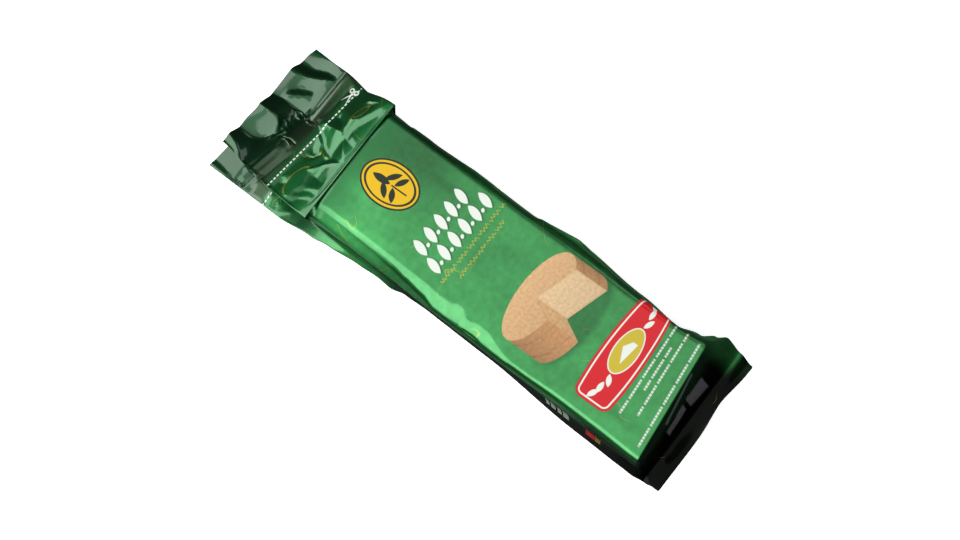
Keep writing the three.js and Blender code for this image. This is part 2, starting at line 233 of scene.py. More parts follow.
def base_rings(t):
    """The film before its relief: its points, ring by ring, and each column's band."""
    fl, fr, bl, br = (line.at(t) for line in (front_left, front_right, back_left, back_right))
    for front, back in ((fl, bl), (fr, br)):
        short = np.maximum(0, 2 * FOIL + EAR_GAP - (front[:, 2] - back[:, 2]))
        front[:, 2] += short / 2
        back[:, 2] -= short / 2
    layer = np.array([0, 0, FOIL])
    keys = [
        ([rest_left.at(t)], rest_left.round(t), WRAP_STEPS, -REST_BAND),
        ([bl, bl + layer], back_left.round(t), REAR_EAR_STEPS, -REAR_BAND),
        ([valley_left.at(t)], valley_left.round(t), GUSSET_STEPS, -VALLEY_BAND),
        ([fl - layer, fl], front_left.round(t), EAR_STEPS, -CREASE_BAND),
        ([shoulder_left.at(t)], shoulder_left.round(t), PANEL_STEPS, -SHOULDER_BAND),
        ([shoulder_right.at(t)], shoulder_right.round(t), EAR_STEPS, SHOULDER_BAND),
        ([fr, fr - layer], front_right.round(t), GUSSET_STEPS, CREASE_BAND),
        ([valley_right.at(t)], valley_right.round(t), GUSSET_STEPS, VALLEY_BAND),
        ([br + layer, br], back_right.round(t), WRAP_STEPS, REAR_BAND),
        ([rest_right.at(t)], rest_right.round(t), REST_STEPS, REST_BAND),
    ]
    count = len(keys)
    corners = [corner(keys[i - 1][0][-1], keys[i][0], keys[(i + 1) % count][0][0], keys[i][1])
               for i in range(count)]
    columns, bands = [], []
    for i, (_, _, steps, band) in enumerate(keys):
        start, end = corners[i][:, -1], corners[(i + 1) % count][:, 0]
        columns.extend(corners[i][:, k] for k in range(CORNER_STEPS + 1))
        bands.extend([band] * (CORNER_STEPS + 1))
        next_band = keys[(i + 1) % count][3] + (2 * SEAM_BAND if i == count - 1 else 0)
        for k in range(1, steps):
            columns.append(lerp(start, end, k / steps))
            bands.append(lerp(band, next_band, k / steps))
    points, bands = np.stack(columns, axis=1), np.array(bands)
    # The grid's seam goes to the middle of the back.
    back_middle = REST_STEPS // 2
    points = np.roll(points, back_middle, axis=1)
    bands = np.roll(np.where(bands > SEAM_BAND, bands - 2 * SEAM_BAND, bands), back_middle)
    return points, bands


def round_the_bag(points, bands):
    """Each point's way round the bag in mm, from the line over x = 0 on the front, negative at left."""
    closed = np.concatenate([points, points[:, :1]], axis=1)
    steps = np.linalg.norm(np.diff(closed, axis=1), axis=-1)
    way = np.concatenate([np.zeros((len(points), 1)), np.cumsum(steps, axis=1)], axis=1)
    front = np.flatnonzero(np.abs(bands) < SHOULDER_BAND)
    middle = np.array([np.interp(0, x[front], w[front]) for x, w in zip(points[:, :, 0], way)])
    return way - middle[:, None]


def outward(points):
    """Unit normals of a grid of rings."""
    closed = np.concatenate([points[:, -1:], points, points[:, :1]], axis=1)
    across = closed[:, 2:] - closed[:, :-2]
    along = np.gradient(points, axis=0)
    normal = np.cross(across, along)
    return normal / (np.linalg.norm(normal, axis=-1, keepdims=True) + 1e-9)


# ---- Waves of the two sealed ends -------------------------------------------------------------------

header_wave = track((-34, 0), (-21, 1.8), (-11, -0.6), (-1, 1.2), (11, -1.6), (28, 1.8), (45, -1))
foot_wave = track((-40, 0.8), (-14, -1), (19, 1.8), (44, -0.6))


def wave(x, t):
    header = 0.25 * step_up(LIP + 6, HEAD_SEAL, t) + 0.75 * step_up(HEAD_SEAL, HEAD_EDGE, t)
    return header * header_wave(x) + step_up(FOOT_SEAL + 4, FOOT_EDGE, t) * foot_wave(x)


# How far the header's cut edge bows outward, by x.
edge_bow = track((-34, 0), (-21, 1.4), (-14, 1.9), (-5, 0.9), (4, 1.7), (9, 2.5), (27, 2.8),
                 (38, 1.6), (45, 0))


def flap_droop(t):
    return FLAP_DROOP * np.clip((t - HEAD_SEAL) / (HEAD_EDGE - HEAD_SEAL), 0, 1)


def pucker(x, t):
    return 2 * bell(x - 19, 13) * step_up(FOOT_SEAL, FOOT_EDGE, t)


# ---- Facets of the header: flats of the film, each with its slope ----------------------------------

# Wanted slopes across, rise over run: DIM by station for the film between the facets, which faces
# away from the light, LIT for flats that mirror it.
DIM = track((LIP, -0.13), (CUT_LINE, -0.26), (HEAD_SEAL + 4, -0.48))
LIT = 0.14
FLAP_DIM = -0.48

# Each facet: its slope, then its corners (x, station).
FACETS = [
    # The flap, from the left.
    (0.56, [(-36, 308), (-26, 308), (-29, 299), (-36, 290), (-41, 285)]),
    (0.42, [(-21, 308), (-1.5, 308), (-2, 293), (-5, 290), (-9, 289), (-13, 289), (-16.5, 292),
                (-20, 297)]),
    (0.36, [(7, 308), (27, 308), (28, 297), (31, 290), (35.5, 283), (9, 283), (9.5, 290), (9, 299)]),
    (FLAP_DIM, [(13, 299), (17, 298.5), (22.5, 289), (20.5, 286.5)]),
    (0.36, [(32, 308), (46, 308), (46, 283), (36.5, 283), (37, 290), (33, 298)]),
    # The band between the seal and the cut line.
    (0.1, [(-40, 284), (-15, 281), (-14, 274), (-40, 277)]),
    (0.08, [(9, 280.5), (46, 280.5), (46, 272), (9, 273)]),
    # The collar, from the left.
    (LIT, [(-37.3, 258), (-36.4, 257), (-34.5, 250.5), (-36.6, 250)]),
    (LIT, [(-36, 252), (-34.5, 252), (-28.6, 244), (-30, 244)]),
    (LIT, [(-31, 254), (-28.5, 253.5), (-26, 250), (-24, 246), (-22.5, 243), (-25.5, 243), (-26, 246.5),
           (-27.8, 250), (-30.5, 252.8)]),
    (LIT, [(-32, 263.5), (-29.5, 265.5), (-26.8, 263.5), (-28, 261), (-31, 261.3)]),
    (LIT, [(-17, 256), (-15, 254), (-9, 250), (-2.5, 243.5), (-18, 244)]),
    (LIT, [(-7.5, 260.5), (-4.5, 264), (3, 266), (0, 260.5), (-5, 259)]),
    (LIT, [(-6, 253.5), (-3.5, 253), (-4, 250), (-6, 251)]),
    (0.32, [(8.5, 271), (10.5, 268), (12, 254), (10.5, 250.5), (-1.5, 242), (-3.5, 249), (0, 257),
            (5, 264)]),
    (LIT, [(19.5, 263), (24, 262), (20, 255.5), (24, 250), (31, 246.5), (40, 243.5), (33, 243), (20, 247),
           (14, 247.5), (11, 243), (9, 243), (10.5, 251), (13, 253.5), (16.5, 256)]),
    (LIT, [(33.5, 255), (35.5, 255), (39, 247), (37.5, 247)]),
    (0.22, [(19, 263.5), (24.5, 262.5), (21, 255), (17, 256)]),
    (-0.4, [(11.5, 267), (18.5, 264), (16, 256.5), (12, 256)]),
]
# The left ear behind the flap: where its relief starts, its sides, and the same two lists.
EAR_START = 246
EAR_SIDES = (track((EAR_START, -48.5)), track((EAR_START, -34)))
EAR_DIM = track((250, -0.3), (288, -0.3), (292, 0.02))
EAR_FACETS = [
    (0.1, [(-48.5, 308), (-45.8, 308), (-47, 295), (-48.5, 290)]),
    (-0.5, [(-45.8, 308), (-44, 308), (-45, 298), (-47.2, 289.5), (-48.2, 291), (-46.6, 296)]),
    (0.1, [(-44.5, 288.5), (-42.5, 288.5), (-42.8, 286)]),
    (0.1, [(-48.5, 278), (-46.8, 277.5), (-46, 272), (-47.5, 271.5)]),
    (0.1, [(-44, 281), (-40, 279), (-41, 277.5), (-43.5, 279)]),
    (0.1, [(-46, 269), (-40, 269.5), (-41, 266.5), (-45, 266)]),
    (0.1, [(-48.3, 268), (-47.5, 266), (-45.5, 258), (-44, 256), (-41.5, 252.5), (-42.5, 252),
           (-46, 254.8), (-48, 256.5)]),
    (0.1, [(-44.5, 262), (-42.5, 262), (-42.5, 260), (-44, 260)]),
]
FACET_COLUMNS = 210
FACET_GRID = 0.4
FACET_BLUR = 2  # passes of a three-point blur over the facets' borders
STIFFNESS = 0.08  # how much the film minds a bend along it, against one across


def inside(corners, x, t):
    """Which points are inside an outline, by counting the sides they see to their left."""
    hit = np.zeros(x.shape, bool)
    for (x0, t0), (x1, t1) in zip(corners, corners[1:] + corners[:1]):
        if t0 != t1:
            hit ^= ((t0 > t) != (t1 > t)) & (x < (x1 - x0) * (t - t0) / (t1 - t0) + x0)
    return hit


def blur(values, passes):
    for _ in range(passes):
        values = np.pad(values, 1, mode="edge")
        values = (values[1:-1] * 2 + values[:-2] + values[2:]) / 4
        values = (values[:, 1:-1] * 2 + values[:, :-2] + values[:, 2:]) / 4
    return values


def rise_from_slopes(slope, pitch):
    """The height, 0 at both sides and at the first row, that comes nearest to a wanted slope across."""
    rows, columns = slope.shape
    slope = np.concatenate([slope, slope[:, ::-1]], axis=1)
    slope = np.concatenate([slope, slope[::-1]], axis=0)
    slope = np.concatenate([slope, -slope], axis=0)
    along = 2 * np.pi * np.fft.fftfreq(4 * rows, FACET_GRID)[:, None]
    across = 2 * np.pi * np.fft.fftfreq(2 * columns, pitch)[None, :]
    stretch = across ** 2 + STIFFNESS * along ** 2
    stretch[0, 0] = 1
    return np.fft.ifft2(np.fft.fft2(slope) * -1j * across / stretch).real[:rows, :columns]


def sample(x, t, values, at_x, at_t):
    """A value read off a regular grid, evened out between its points."""
    i = np.clip((at_x - x[0]) / (x[1] - x[0]), 0, len(x) - 1.001)
    j = np.clip((at_t - t[0]) / (t[1] - t[0]), 0, len(t) - 1.001)
    i0, j0 = i.astype(int), j.astype(int)
    fi, fj = i - i0, j - j0
    low = lerp(values[j0, i0], values[j0, i0 + 1], fi)
    high = lerp(values[j0 + 1, i0], values[j0 + 1, i0 + 1], fi)
    return lerp(low, high, fj)


def relief(part, start, sides, base, facets):
    """How far the facets of a part, given by its bands, lift the film between its two sides."""
    t = np.arange(start, HEAD_EDGE + 2, FACET_GRID)
    share = np.linspace(0, 1, FACET_COLUMNS)
    near, far = (side(t)[:, None] for side in sides)
    grid_x, grid_t = near + share * (far - near), t[:, None] + 0 * share
    points, bands = base_rings(t)
    points = points[:, (bands > part[0]) & (bands < part[1])]
    points = points[:, np.argsort(points[0, :, 0])]
    level = np.array([np.interp(x, ring[:, 0], ring[:, 2]) for x, ring in zip(grid_x, points)])
    level += wave(grid_x, grid_t)
    slope = base(grid_t)
    for facet_slope, corners in facets:
        slope[inside(corners, grid_x, grid_t)] = facet_slope
    step = (far - near) / (FACET_COLUMNS - 1)
    rise = rise_from_slopes(blur(slope, FACET_BLUR) - np.gradient(level, axis=1) / step, step.mean())

    def at(x, station):
        near, far = (side(station) for side in sides)
        return sample(share, t, rise, (x - near) / (far - near), station) * (station > start)

    return at


# ---- Creases: lines over the film, each with its height, its width and its route --------------------

def crease(x, t, route, height, width):
    """The rise of a crease along its route. It fades out towards both ends."""
    rise = np.zeros(x.shape)
    route = np.array(route, float)
    near = ((x > route[:, 0].min() - 4 * width) & (x < route[:, 0].max() + 4 * width)
            & (t > route[:, 1].min() - 4 * width) & (t < route[:, 1].max() + 4 * width))
    if not near.any():
        return rise
    p = np.stack([x[near], t[near]], axis=-1)
    lengths = np.linalg.norm(np.diff(route, axis=0), axis=1)
    starts = np.concatenate([[0], np.cumsum(lengths)])
    best, along = np.full(len(p), np.inf), np.zeros(len(p))
    for a, b, start, length in zip(route, route[1:], starts, lengths):
        f = np.clip(((p - a) @ (b - a)) / length ** 2, 0, 1)
        d = np.linalg.norm(p - (a + f[:, None] * (b - a)), axis=1)
        closer = d < best
        best = np.where(closer, d, best)
        along = np.where(closer, (start + f * length) / starts[-1], along)
    taper = np.clip(np.minimum(along, 1 - along) * 5, 0.05, 1)
    edge = 0.3 * width
    rise[near] = height * ease(taper) * np.exp(-(np.sqrt(best ** 2 + edge ** 2) - edge) / (0.6 * width))
    return rise


# Where the left shoulder starts to roll over, and how steeply it does, in mm.
roll_start = track((20, -33.5), (60, -33), (84, -34.4), (92, -34.4), (99, -33.4), (104, -31.8),
                   (109, -30.2), (113, -28.7), (121, -28.6), (125, -30.2), (129, -29.6), (132, -26.6),
                   (136, -26.2), (140, -28.4), (150, -28.5), (158, -27.7), (HEAD, -26.8))
ROLL_SLOPE = 0.18
ROLL_BEND = 0.016


def shoulder_roll(x, t):
    """The soft edge of the block under the left of the front, as how far the film sinks."""
    way = np.clip(roll_start(t) - x, 0, np.maximum(roll_start(t) - shoulder_left.x(t), 0))
    return (ROLL_SLOPE * way + ROLL_BEND * way ** 2) * step_up(16, 34, t) * step_up(HEAD, HEAD - 6, t)


# Soft dents and swells of the face: x, station, half width, half length, height.
DENTS = [(-12, 222, 7, 12, -0.3), (14, 205, 8, 16, -0.35), (-8, 150, 9, 14, 0.3), (18, 135, 8, 13, -0.3),
         (0, 118, 8, 12, -0.25), (-16, 62, 8, 14, -0.35), (22, 78, 7, 15, 0.3), (8, 30, 9, 10, 0.3),
         (26, 180, 5, 18, -0.3), (-22, 190, 5, 16, 0.25), (24, 40, 6, 9, -0.3), (-26, 30, 5, 12, 0.3)]


def dents(x, t):
    return sum(height * bell(x - x0, wide) * bell(t - t0, long) for x0, t0, wide, long, height in DENTS)


# Over the front panel: height, width, route of (x, station).
FRONT_CREASES = [
    # The seal line, in two stretches, with the fans of small folds that cross it.
    (-0.9, 0.9, [(-40, 285), (-26, 283.4), (-15, 281.8), (-12, 281.5)]),
    (-0.9, 0.9, [(7, 281.3), (20, 280.8), (34, 280.6), (46, 280)]),
    (0.5, 0.9, [(-40, 282.6), (-26, 281.2), (-14, 279.4)]),
    (0.5, 0.9, [(8, 279.2), (22, 278.6), (46, 278)]),
    (0.8, 1.0, [(-16.5, 291.5), (-13, 287.5), (-8, 285), (-4, 284.5)]),
    (-0.6, 0.8, [(-14, 290), (-10, 287.5), (-5, 287)]),
    (0.7, 0.8, [(-12, 286), (-10, 280), (-12, 273)]),
    (-0.6, 0.8, [(-10, 285), (-8, 278), (-9, 272)]),
    (0.7, 0.9, [(-8, 283), (-3, 286), (0, 290)]),
    (-0.7, 0.9, [(-3, 283), (1, 286), (6, 288.5)]),
    (0.9, 0.8, [(5.5, 282), (5, 286), (7.5, 289.5), (9, 287), (8, 283), (6.5, 280)]),
    (0.6, 0.7, [(6.5, 281), (6, 276), (7.5, 271)]),
    (-0.6, 0.7, [(8.5, 280), (8.5, 275), (9.5, 271)]),
    (0.6, 0.8, [(33, 288), (34.5, 284), (34, 280)]),
    (-0.5, 0.7, [(35.5, 287), (36.5, 283), (36, 280)]),
    # The rolled band under the seal.
    (0.5, 1.6, [(-38, 277.6), (-26, 276), (-13, 274)]),
    (-0.5, 1.2, [(-39, 274.4), (-24, 272.4), (-12, 270)]),
    (-0.6, 1.5, [(10, 272.5), (25, 271), (41, 269.6)]),
    # Folds of the collar.
    (0.7, 0.9, [(-38.8, 263), (-38.9, 268), (-39.5, 282)]),
    (0.5, 0.8, [(-17.5, 257), (-14.5, 254), (-9, 250), (-3, 243.5)]),
    (-0.6, 0.9, [(-11.5, 265), (-9, 259), (-4, 256.5)]),
    (0.2, 0.8, [(-3, 249.5), (0, 257), (5, 264), (8, 270)]),
    (0.25, 0.8, [(20, 253), (24, 257), (31, 257.6), (36, 253), (39, 246)]),
    # The right bevel's bulge, and its dark edge beside the face.
    (1.7, 1.2, [(37.6, 136), (38.8, 124), (41.4, 108), (42, 98)]),
    (1.3, 1.1, [(37.8, 192), (38.8, 178), (38.4, 162)]),
    (1.0, 1.0, [(38, 226), (38.4, 214), (38, 204)]),
    (-0.35, 0.7, [(36.6, 232), (36.6, 180), (36.6, 130), (37, 100), (36.8, 60), (36.8, 24)]),
    # A notch in the left bevel.
    (-0.9, 0.8, [(-36.6, 128), (-36.1, 121), (-36.5, 114)]),
    # The sealed foot.
    (0.5, 0.9, [(-14, 7.5), (-2, 5), (9, 6.5), (20, 4)]),
    (-0.4, 0.8, [(-18, 4.5), (-4, 2.5), (12, 3.5)]),
    (0.5, 1.0, [(24, 9), (33, 6), (44, 3)]),
    (0.6, 1.0, [(36, 14), (41, 10), (47, 7)]),
    (-0.5, 0.9, [(34, 11), (40, 7), (46, 3)]),
    (0.6, 0.9, [(-39, 8), (-36, 4), (-38, -3)]),
    (0.4, 0.8, [(-30, 6), (-22, 2), (-25, -4)]),
    # The dark line over the lip.
    (-0.6, 0.6, [(-37, 243.2), (-30, 242.4), (-18, 241.8), (0, 241.5), (20, 241.6), (40, 242)]),
]
# On the ear behind the flap.
EAR_CREASES = [
    (-0.9, 0.9, [(-47.5, 284.7), (-42, 284), (-34, 283)]),
    (-0.5, 0.8, [(-47, 289.6), (-42, 289.4), (-37, 289.8)]),
    (-0.8, 0.7, [(-48.6, 285.5), (-47.5, 287.2), (-45.5, 287.3), (-44, 285.4)]),
    (0.6, 0.7, [(-48.2, 284.3), (-46.5, 286), (-45, 285.2)]),
]


# ---- Making the mesh --------------------------------------------------------------------------------

def film_grid():
    t = ring_stations()
    points, bands = base_rings(t)
    way = round_the_bag(points, bands)
    x, stations = points[:, :, 0].copy(), np.repeat(t[:, None], points.shape[1], axis=1)
    front = np.abs(bands)[None, :] <= CREASE_BAND
    rear_ear = bands < -VALLEY_BAND
    header = relief((-CREASE_BAND, CREASE_BAND), LIP - 4, (front_left.x, front_right.x), DIM, FACETS)
    ear = relief((-REAR_BAND, -VALLEY_BAND), EAR_START, EAR_SIDES, EAR_DIM, EAR_FACETS)
    # The layers behind follow the header's relief where they are sealed to it.
    follow = np.where(front, 1, step_up(CUT_LINE, HEAD_SEAL, stations))
    points[:, :, 2] += wave(x, stations) + header(x, stations) * follow
    points[:, :, 2] += ear(x, stations) * rear_ear
    points[:, :, 2] += front * (dents(x, stations) - shoulder_roll(x, stations)) - flap_droop(stations)
    points[:, :, 1] += pucker(x, stations) + edge_bow(x) * step_up(HEAD_SEAL, HEAD_EDGE, stations)
    normal = outward(points)
    rise = sum(crease(x, stations, route, height, width) for height, width, route in FRONT_CREASES)
    ear_rise = sum(crease(x, stations, route, height, width) for height, width, route in EAR_CREASES)
    points += normal * (rise * front)[:, :, None]
    points[:, :, 2] += ear_rise * rear_ear
    return points, bands, way, t


def make_film(name):
    """A grid is wrapped into the bag, its seam is joined, and its two ends are closed."""
    points, bands, way, t = film_grid()
    rows, columns = points.shape[:2]
    low, high = points.reshape(-1, 3).min(0), points.reshape(-1, 3).max(0)
    points = points - np.array([(low[0] + high[0]) / 2, (low[1] + high[1]) / 2, low[2]])

    bm = bmesh.new()
    bmesh.ops.create_grid(bm, x_segments=columns, y_segments=rows - 1, size=0.5)
    film, band_map = bm.loops.layers.uv.new("film"), bm.loops.layers.uv.new("bands")
    place = {}
    for vert in bm.verts:
        i = round((vert.co.x + 0.5) * columns)
        j = round((vert.co.y + 0.5) * (rows - 1))
        place[vert] = (i, j)
        vert.co = Vector(points[j, i % columns]) * MM
    band_ends = np.append(bands, SEAM_BAND)
    for face in bm.faces:
        face.smooth = True
        for loop in face.loops:
            i, j = place[loop.vert]
            loop[film].uv = (way[j, i], t[j])
            loop[band_map].uv = (band_ends[i], t[j])
    bmesh.ops.remove_doubles(bm, verts=[v for v in bm.verts if place[v][0] in (0, columns)], dist=1e-7)
    open_ends = [edge for edge in bm.edges if edge.is_boundary]
    for edge in open_ends:
        edge.smooth = False
    caps = bmesh.ops.holes_fill(bm, edges=open_ends, sides=0)["faces"]
    for face in caps:
        for loop in face.loops:
            side = next(l for l in loop.vert.link_loops if l.face not in caps)
            loop[film].uv, loop[band_map].uv = side[film].uv, side[band_map].uv
    bmesh.ops.triangulate(bm, faces=caps)
    bmesh.ops.recalc_face_normals(bm, faces=bm.faces)
    mesh = bpy.data.meshes.new(name)
    bm.to_mesh(mesh)
    bm.free()
    piece = bpy.data.objects.new(name, mesh)
    bpy.context.scene.collection.objects.link(piece)
    return piece


# ---- Camera -----------------------------------------------------------------------------------------

VIEW_TILT = math.radians(15)  # from straight above, towards the foot
VIEW_SIDE = math.radians(5)  # towards the left
VIEW_ROLL = math.radians(53.336)  # how far the header leans to the left in the picture
VIEW_DISTANCE = 0.9
LENS = 61.2
AIM = Vector((-4.5, -11.2, 57.0)) * MM  # what the middle of the picture shows


def set_camera():
    back = Vector((-math.sin(VIEW_SIDE), -math.sin(VIEW_TILT) * math.cos(VIEW_SIDE),
                   math.cos(VIEW_TILT) * math.cos(VIEW_SIDE)))
    right = Vector((0, 1, 0)).cross(back).normalized()
    up = back.cross(right)
    c, s = math.cos(VIEW_ROLL), math.sin(VIEW_ROLL)
    x_axis, y_axis = right * c - up * s, right * s + up * c
    data = bpy.data.cameras.new("camera")
    data.sensor_fit = "HORIZONTAL"
    data.sensor_width = 36
    data.lens = LENS
    data.clip_end = 50
    camera = bpy.data.objects.new("camera", data)
    turn = Matrix((x_axis, y_axis, back)).transposed().to_4x4()
    camera.matrix_world = Matrix.Translation(AIM + back * VIEW_DISTANCE) @ turn
    bpy.context.scene.collection.objects.link(camera)
    bpy.context.scene.camera = camera


# ---- Studio -----------------------------------------------------------------------------------------

PANEL_HEIGHT = 1.3
FLOOR_HALF = 25  # metres from its middle to its edges
FLOOR_GAP = 0.0002


def ceiling_panel(name, x_span, y_span, radiance, in_reflections=True):
    """A flat soft light over the table, facing down, given by its edges in metres and its brightness."""
    data = bpy.data.lights.new(name, "AREA")
    data.shape = "RECTANGLE"
    data.size, data.size_y = x_span[1] - x_span[0], y_span[1] - y_span[0]
    data.energy = radiance * math.pi * data.size * data.size_y
    lamp = bpy.data.objects.new(name, data)
    lamp.location = (sum(x_span) / 2, sum(y_span) / 2, PANEL_HEIGHT)
    lamp.visible_glossy = in_reflections
    if not in_reflections:
        data.specular_factor = 0
    bpy.context.scene.collection.objects.link(lamp)


def set_lights():
    """Four panels that the foil mirrors, and a fill that only lights what is dull."""
    view = bpy.context.scene.view_settings
    view.view_transform = "Standard"
    view.look = "None"
    world = bpy.data.worlds.new("studio")
    bpy.context.scene.world = world
    world.use_nodes = True
    background = world.node_tree.nodes["Background"]
    background.inputs["Color"].default_value = (0.9, 0.95, 0.93, 1)
    background.inputs["Strength"].default_value = 0.03
    ceiling_panel("header_panel", (-1.9, 0.2), (0.62, 3.0), 3.4)
    ceiling_panel("left_panel", (-2.6, -0.18), (-0.9, 0.62), 3.2)
    ceiling_panel("right_panel", (1.3, 2.6), (-0.6, 0.5), 1.4)
    ceiling_panel("overhead_panel", (-0.18, 0.6), (-0.75, 0.62), 0.85)
    ceiling_panel("table_fill", (-1.5, 2.0), (-1.6, 1.6), 0.75, in_reflections=False)


def set_floor():
    """A pale table that glows a little, so the pack's shadow stays faint."""
    bm = bmesh.new()
    bmesh.ops.create_grid(bm, x_segments=1, y_segments=1, size=FLOOR_HALF)
    mesh = bpy.data.meshes.new("floor")
    bm.to_mesh(mesh)
    bm.free()
    floor = bpy.data.objects.new("floor", mesh)
    floor.location.z = -FLOOR_GAP
    bpy.context.scene.collection.objects.link(floor)
    paint = bpy.data.materials.new("pale_floor")
    paint.use_nodes = True
    shader = paint.node_tree.nodes["Principled BSDF"]
    shader.inputs["Base Color"].default_value = (0.9, 0.9, 0.9, 1)
    shader.inputs["Roughness"].default_value = 0.9
    shader.inputs["Emission Color"].default_value = (1, 1, 1, 1)
    shader.inputs["Emission Strength"].default_value = 0.6
    mesh.materials.append(paint)
    floor.visible_glossy = False


# ---- Drawing on the film: shapes are distances in mm from their edge, negative inside ---------------

class Field:
    """A number that varies over the film, as a socket of its material, with ordinary arithmetic."""

    def __init__(self, tree, socket):
        self.tree, self.socket = tree, socket

    def math(self, operation, *others):
        node = self.tree.nodes.new("ShaderNodeMath")
        node.operation = operation
        for entry, value in zip(node.inputs, (self, *others)):
            if isinstance(value, Field):
                self.tree.links.new(value.socket, entry)
            else:
                entry.default_value = value
        return Field(self.tree, node.outputs[0])

    def __add__(self, other):
        return self.math("ADD", other)

    def __sub__(self, other):
        return self.math("SUBTRACT", other)

    def __mul__(self, other):
        return self.math("MULTIPLY", other)

    def __truediv__(self, other):
        return self.math("DIVIDE", other)

    def __neg__(self):
        return self * -1

    def __abs__(self):
        return self.math("ABSOLUTE")

    def low(self, other):
        return self.math("MINIMUM", other)

    def high(self, other):
        return self.math("MAXIMUM", other)

    def span(self, start, end):
        """0 where it is start, 1 where it is end, and eased between."""
        node = self.tree.nodes.new("ShaderNodeMapRange")
        node.interpolation_type = "SMOOTHSTEP"
        node.inputs["From Min"].default_value = start
        node.inputs["From Max"].default_value = end
        self.tree.links.new(self.socket, node.inputs["Value"])
        return Field(self.tree, node.outputs["Result"])

    def every(self, pitch):
        """The distance to the nearest of evenly spaced places, with its sign."""
        return self.math("WRAP", pitch / 2, -pitch / 2)


def length(x, y):
    return (x * x + y * y).math("SQRT")


def moved(p, x, y):
    return p[0] - x, p[1] - y


def turned(p, degrees):
    c, s = math.cos(math.radians(degrees)), math.sin(math.radians(degrees))
    return p[0] * c + p[1] * s, p[1] * c - p[0] * s


def disc(p, radius):
    return length(*p) - radius


def oval(p, half_wide, half_high):
    return (length(p[0] / half_wide, p[1] / half_high) - 1) * min(half_wide, half_high)


def bar(p, half_wide, half_high, round=0.0):
    x, y = abs(p[0]) - (half_wide - round), abs(p[1]) - (half_high - round)
    return length(x.high(0), y.high(0)) + x.high(y).low(0) - round


def leaf(p, half_long, half_wide):
    """Two arcs that meet in points, along y."""
    away = (half_long ** 2 - half_wide ** 2) / (2 * half_wide)
    return length(abs(p[0]) + away, p[1]) - (away + half_wide)


def slab(p, *corners):
    """A convex shape with straight sides, its corners in order against the clock."""
    sides = []
    for (x0, y0), (x1, y1) in zip(corners, corners[1:] + corners[:1]):
        run = math.hypot(x1 - x0, y1 - y0)
        sides.append((p[0] - x0) * ((y1 - y0) / run) - (p[1] - y0) * ((x1 - x0) / run))
    edge = sides[0]
    for side in sides[1:]:
        edge = edge.high(side)
    return edge


class Ink:
    """The film's print: a colour, and how much of it is opaque ink, built up one shape over another."""

    def __init__(self, tree, ground, opaque=None):
        self.tree, self.color, self.opaque = tree, ground, opaque

    def mix(self, amount, color):
        node = self.tree.nodes.new("ShaderNodeMix")
        node.data_type = "RGBA"
        self.tree.links.new(amount.socket, node.inputs["Factor"])
        self.tree.links.new(self.color, node.inputs[6])
        if isinstance(color, tuple):
            node.inputs[7].default_value = (*color, 1)
        else:
            self.tree.links.new(color, node.inputs[7])
        self.color = node.outputs[2]

    def print(self, shape, color, cover=1.0, soft=0.14):
        amount = shape.span(soft, -soft) * cover
        self.mix(amount, color)
        self.opaque = amount if self.opaque is None else self.opaque.high(amount)


def noise(p, scale, detail):
    """Soft clouds from 0 to 1 over the film."""
    tree = p[0].tree
    node, join = tree.nodes.new("ShaderNodeTexNoise"), tree.nodes.new("ShaderNodeCombineXYZ")
    tree.links.new(p[0].socket, join.inputs[0])
    tree.links.new(p[1].socket, join.inputs[1])
    tree.links.new(join.outputs[0], node.inputs["Vector"])
    node.inputs["Scale"].default_value = scale
    node.inputs["Detail"].default_value = detail
    return Field(tree, node.outputs["Fac"])


def tone(color, amount):
    """A colour made lighter and darker by a field around 1."""
    tree = amount.tree
    node = tree.nodes.new("ShaderNodeMix")
    node.data_type, node.blend_type = "RGBA", "MULTIPLY"
    node.inputs["Factor"].default_value = 1
    node.inputs[6].default_value = (*color, 1)
    gray = tree.nodes.new("ShaderNodeCombineColor")
    for entry in gray.inputs:
        tree.links.new(amount.socket, entry)
    tree.links.new(gray.outputs[0], node.inputs[7])
    return node.outputs[2]


def stamp(ink, p, draw):
    """Draw a motif in a node group of its own, which goes into the film's material as one node."""
    group = bpy.data.node_groups.new(draw.__name__, "ShaderNodeTree")
    for name, kind in (("x", "Float"), ("y", "Float"), ("Color", "Color"), ("Opaque", "Float")):
        group.interface.new_socket(name, in_out="INPUT", socket_type="NodeSocket" + kind)
    for name, kind in (("Color", "Color"), ("Opaque", "Float")):
        group.interface.new_socket(name, in_out="OUTPUT", socket_type="NodeSocket" + kind)
    start, end = group.nodes.new("NodeGroupInput"), group.nodes.new("NodeGroupOutput")
    inner = Ink(group, start.outputs["Color"], Field(group, start.outputs["Opaque"]))
    draw(inner, (Field(group, start.outputs["x"]), Field(group, start.outputs["y"])))
    group.links.new(inner.color, end.inputs["Color"])
    group.links.new(inner.opaque.socket, end.inputs["Opaque"])
    node = ink.tree.nodes.new("ShaderNodeGroup")
    node.node_tree = group
    for entry, socket in zip(node.inputs, (p[0].socket, p[1].socket, ink.color)):
        ink.tree.links.new(socket, entry)
    if ink.opaque is not None:
        ink.tree.links.new(ink.opaque.socket, node.inputs["Opaque"])
    ink.color, ink.opaque = node.outputs["Color"], Field(ink.tree, node.outputs["Opaque"])


# ---- The print --------------------------------------------------------------------------------------

